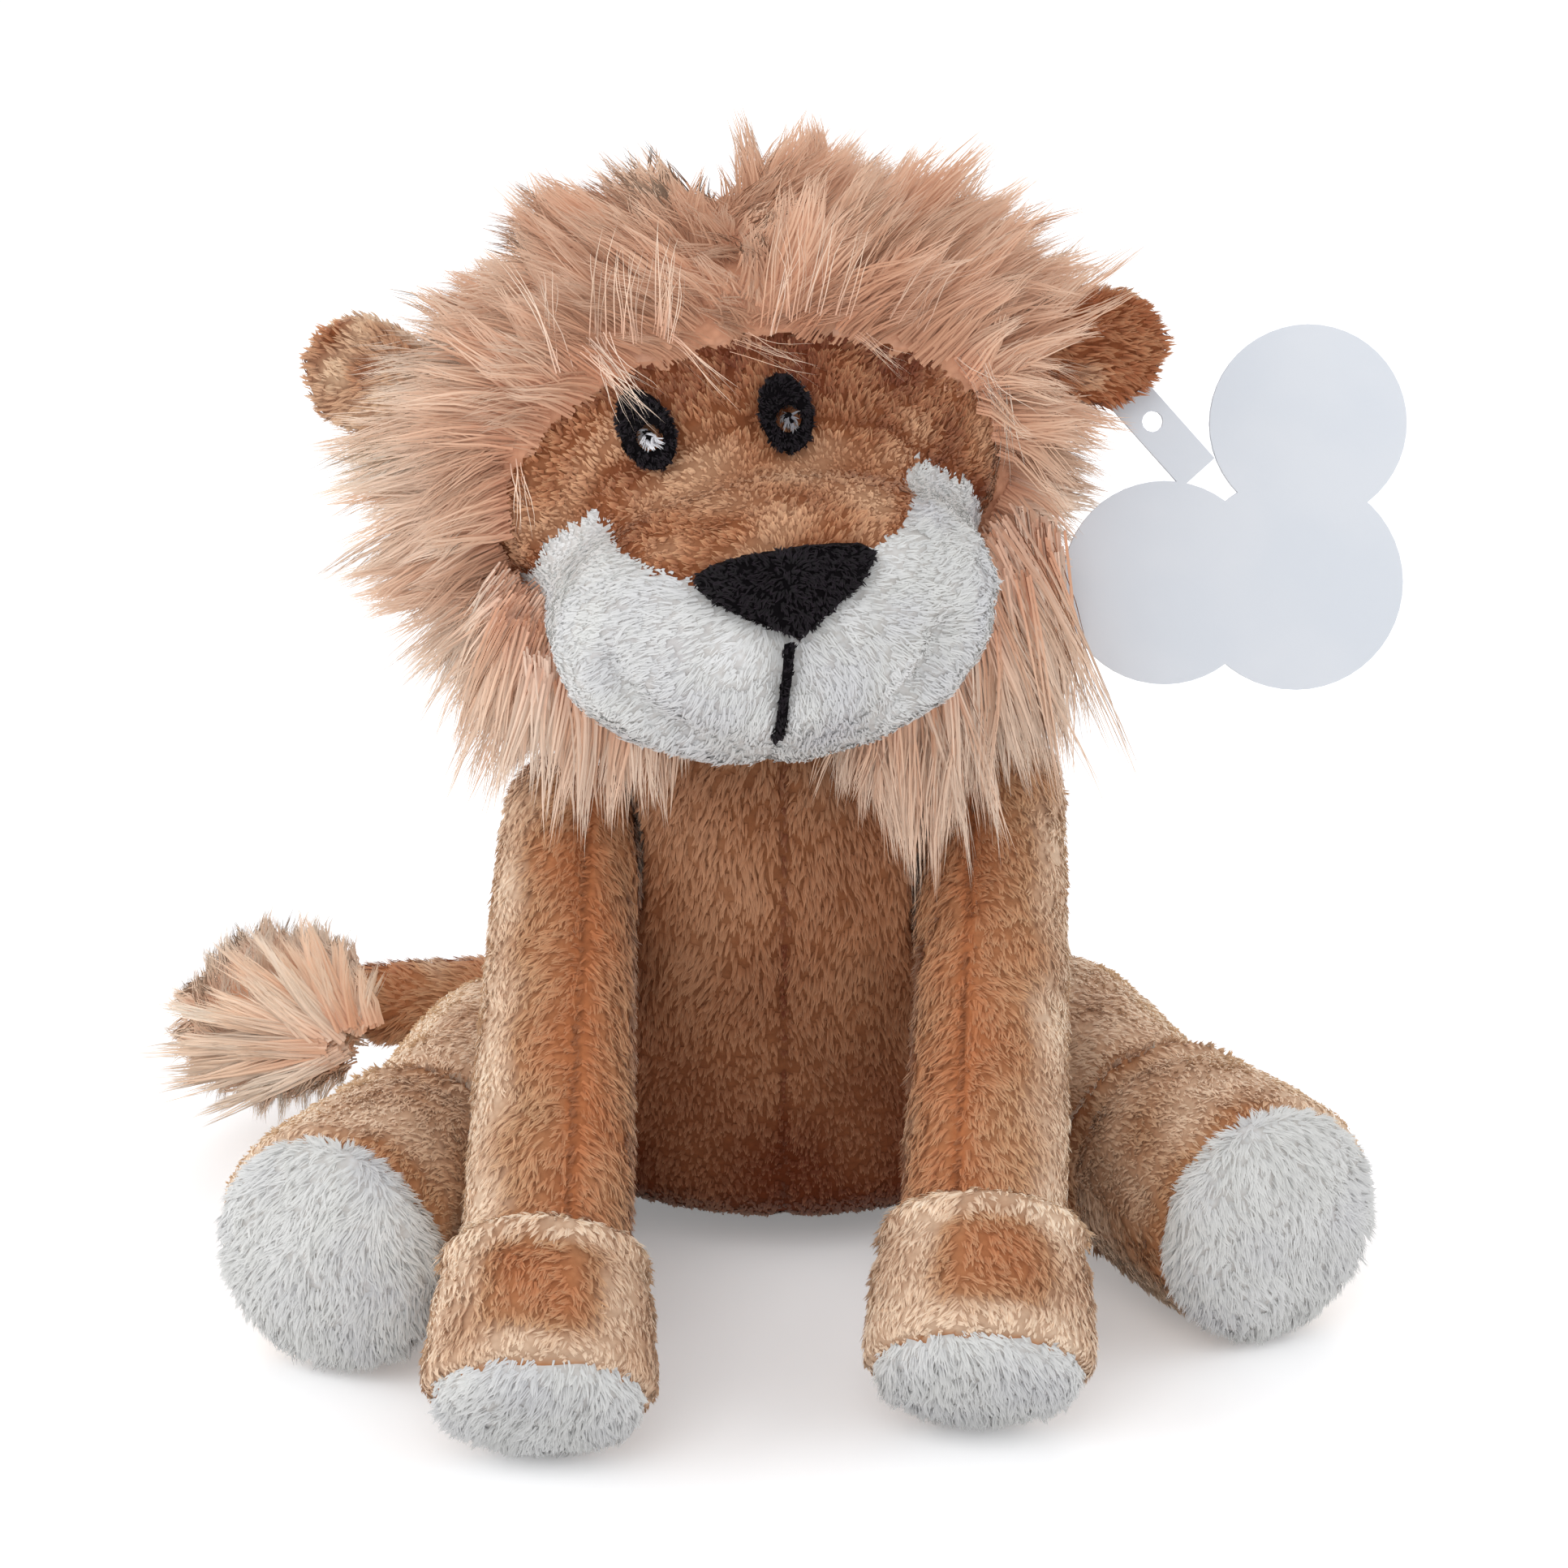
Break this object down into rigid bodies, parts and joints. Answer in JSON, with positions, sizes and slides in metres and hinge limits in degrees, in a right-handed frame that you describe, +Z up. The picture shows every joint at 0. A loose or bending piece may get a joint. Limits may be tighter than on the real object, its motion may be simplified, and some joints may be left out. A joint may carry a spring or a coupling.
{
  "type": "plush lion",
  "caption": "Sitting plush lion with a long-pile mane and tail tuft, stitched face, jointless stuffed limbs, white soles and a blank paper tag at one ear.",
  "frame": {"origin": "middle of the flat seat, on the surface that the lion sits on", "axes": "+Z up, the lion looks along -Y, +X is its own left"},
  "size_m": [0.1741, 0.1271, 0.1485],
  "materials": {
    "plush": "short golden brown plush",
    "bridge": "short light brown plush",
    "white": "short white plush",
    "mane": "long pale plush with reddish roots",
    "ear_inside": "short reddish brown plush",
    "thread": "satin embroidery, black",
    "glint": "satin embroidery, white",
    "stuffing": "loose polyester filling",
    "pellets": "bag of weighting pellets",
    "card": "matt white card",
    "plastic": "clear moulded fastener"
  },
  "bodies": {
    "torso": {"back_panel": "plush", "belly_left": "plush", "belly_right": "plush", "torso_stuffing": "stuffing", "pellet_bag": "pellets"},
    "neck": {"neck_plug": "stuffing"},
    "head": {"face_left": "plush", "face_right": "plush", "bridge": "bridge", "cheek_left": "white", "eye_left": "thread", "glint_left": "glint", "cheek_right": "white", "eye_right": "thread", "glint_right": "glint", "nose": "thread", "mouth": "thread", "head_stuffing": "stuffing", "mane_back": "mane", "mane_crown": "mane", "mane_left": "mane", "mane_chin": "mane", "mane_right": "mane"},
    "arm_left": {"arm_left_paw": "plush", "arm_left_sole": "white", "arm_left_stuffing": "stuffing", "arm_left_sleeve_outer": "plush", "arm_left_sleeve_inner": "plush"},
    "arm_right": {"arm_right_paw": "plush", "arm_right_sole": "white", "arm_right_stuffing": "stuffing", "arm_right_sleeve_outer": "plush", "arm_right_sleeve_inner": "plush"},
    "leg_left": {"leg_left_foot": "plush", "leg_left_sole": "white", "leg_left_stuffing": "stuffing", "leg_left_thigh": "plush"},
    "leg_right": {"leg_right_foot": "plush", "leg_right_sole": "white", "leg_right_stuffing": "stuffing", "leg_right_thigh": "plush"},
    "tail": {"tail_tube": "plush", "tail_core": "stuffing", "tail_tuft": "mane"},
    "ear_left": {"tag_fastener": "plastic", "ear_left_back": "plush", "ear_left_front": "ear_inside"},
    "ear_right": {"ear_right_back": "plush", "ear_right_front": "ear_inside"},
    "tag": {"tag_front": "card", "tag_back": "card"}
  },
  "joints": [
    {"name": "head_turn", "type": "hinge", "parent": "torso", "child": "neck", "pos_m": [-0.004, -0.013, 0.084], "axis": [0, 0, 1], "range_deg": [-20, 20], "stiffness_Nm_per_rad": 0.5},
    {"name": "head_nod", "type": "hinge", "parent": "neck", "child": "head", "pos_m": [-0.004, -0.013, 0.084], "axis": [0.9903, 0.1392, 0], "range_deg": [-6, 6], "stiffness_Nm_per_rad": 0.6},
    {"name": "arm_left_raise", "type": "hinge", "parent": "torso", "child": "arm_left", "pos_m": [0.03, -0.009, 0.065], "axis": [-0.9976, 0.0698, 0], "range_deg": [0, 25], "stiffness_Nm_per_rad": 0.08},
    {"name": "arm_right_raise", "type": "hinge", "parent": "torso", "child": "arm_right", "pos_m": [-0.03, -0.015, 0.063], "axis": [-0.9998, 0.0174, 0], "range_deg": [0, 25], "stiffness_Nm_per_rad": 0.08},
    {"name": "leg_left_spread", "type": "hinge", "parent": "torso", "child": "leg_left", "pos_m": [0.038, 0.006, 0.0175], "axis": [0, 0, 1], "range_deg": [0, 30], "stiffness_Nm_per_rad": 0.08},
    {"name": "leg_right_spread", "type": "hinge", "parent": "torso", "child": "leg_right", "pos_m": [-0.038, -0.001, 0.0175], "axis": [0, 0, -1], "range_deg": [0, 25], "stiffness_Nm_per_rad": 0.08},
    {"name": "tail_wag", "type": "hinge", "parent": "torso", "child": "tail", "pos_m": [-0.019, 0.028, 0.02], "axis": [0, 0, -1], "range_deg": [0, 60], "stiffness_Nm_per_rad": 0.02},
    {"name": "ear_left_fold", "type": "hinge", "parent": "head", "child": "ear_left", "pos_m": [0.03005, -0.00895, 0.1285], "axis": [-0.0822, -0.0335, -0.9961], "range_deg": [-15, 20], "stiffness_Nm_per_rad": 0.01},
    {"name": "ear_right_fold", "type": "hinge", "parent": "head", "child": "ear_right", "pos_m": [-0.04348, -0.01929, 0.12191], "axis": [0.2739, -0.1416, 0.9513], "range_deg": [-15, 20], "stiffness_Nm_per_rad": 0.01},
    {"name": "tag_swing", "type": "hinge", "parent": "ear_left", "child": "tag", "pos_m": [0.04494, -0.0006, 0.12157], "axis": [-0.0227, 0.9515, -0.3069], "range_deg": [-15, 15]}
  ]
}
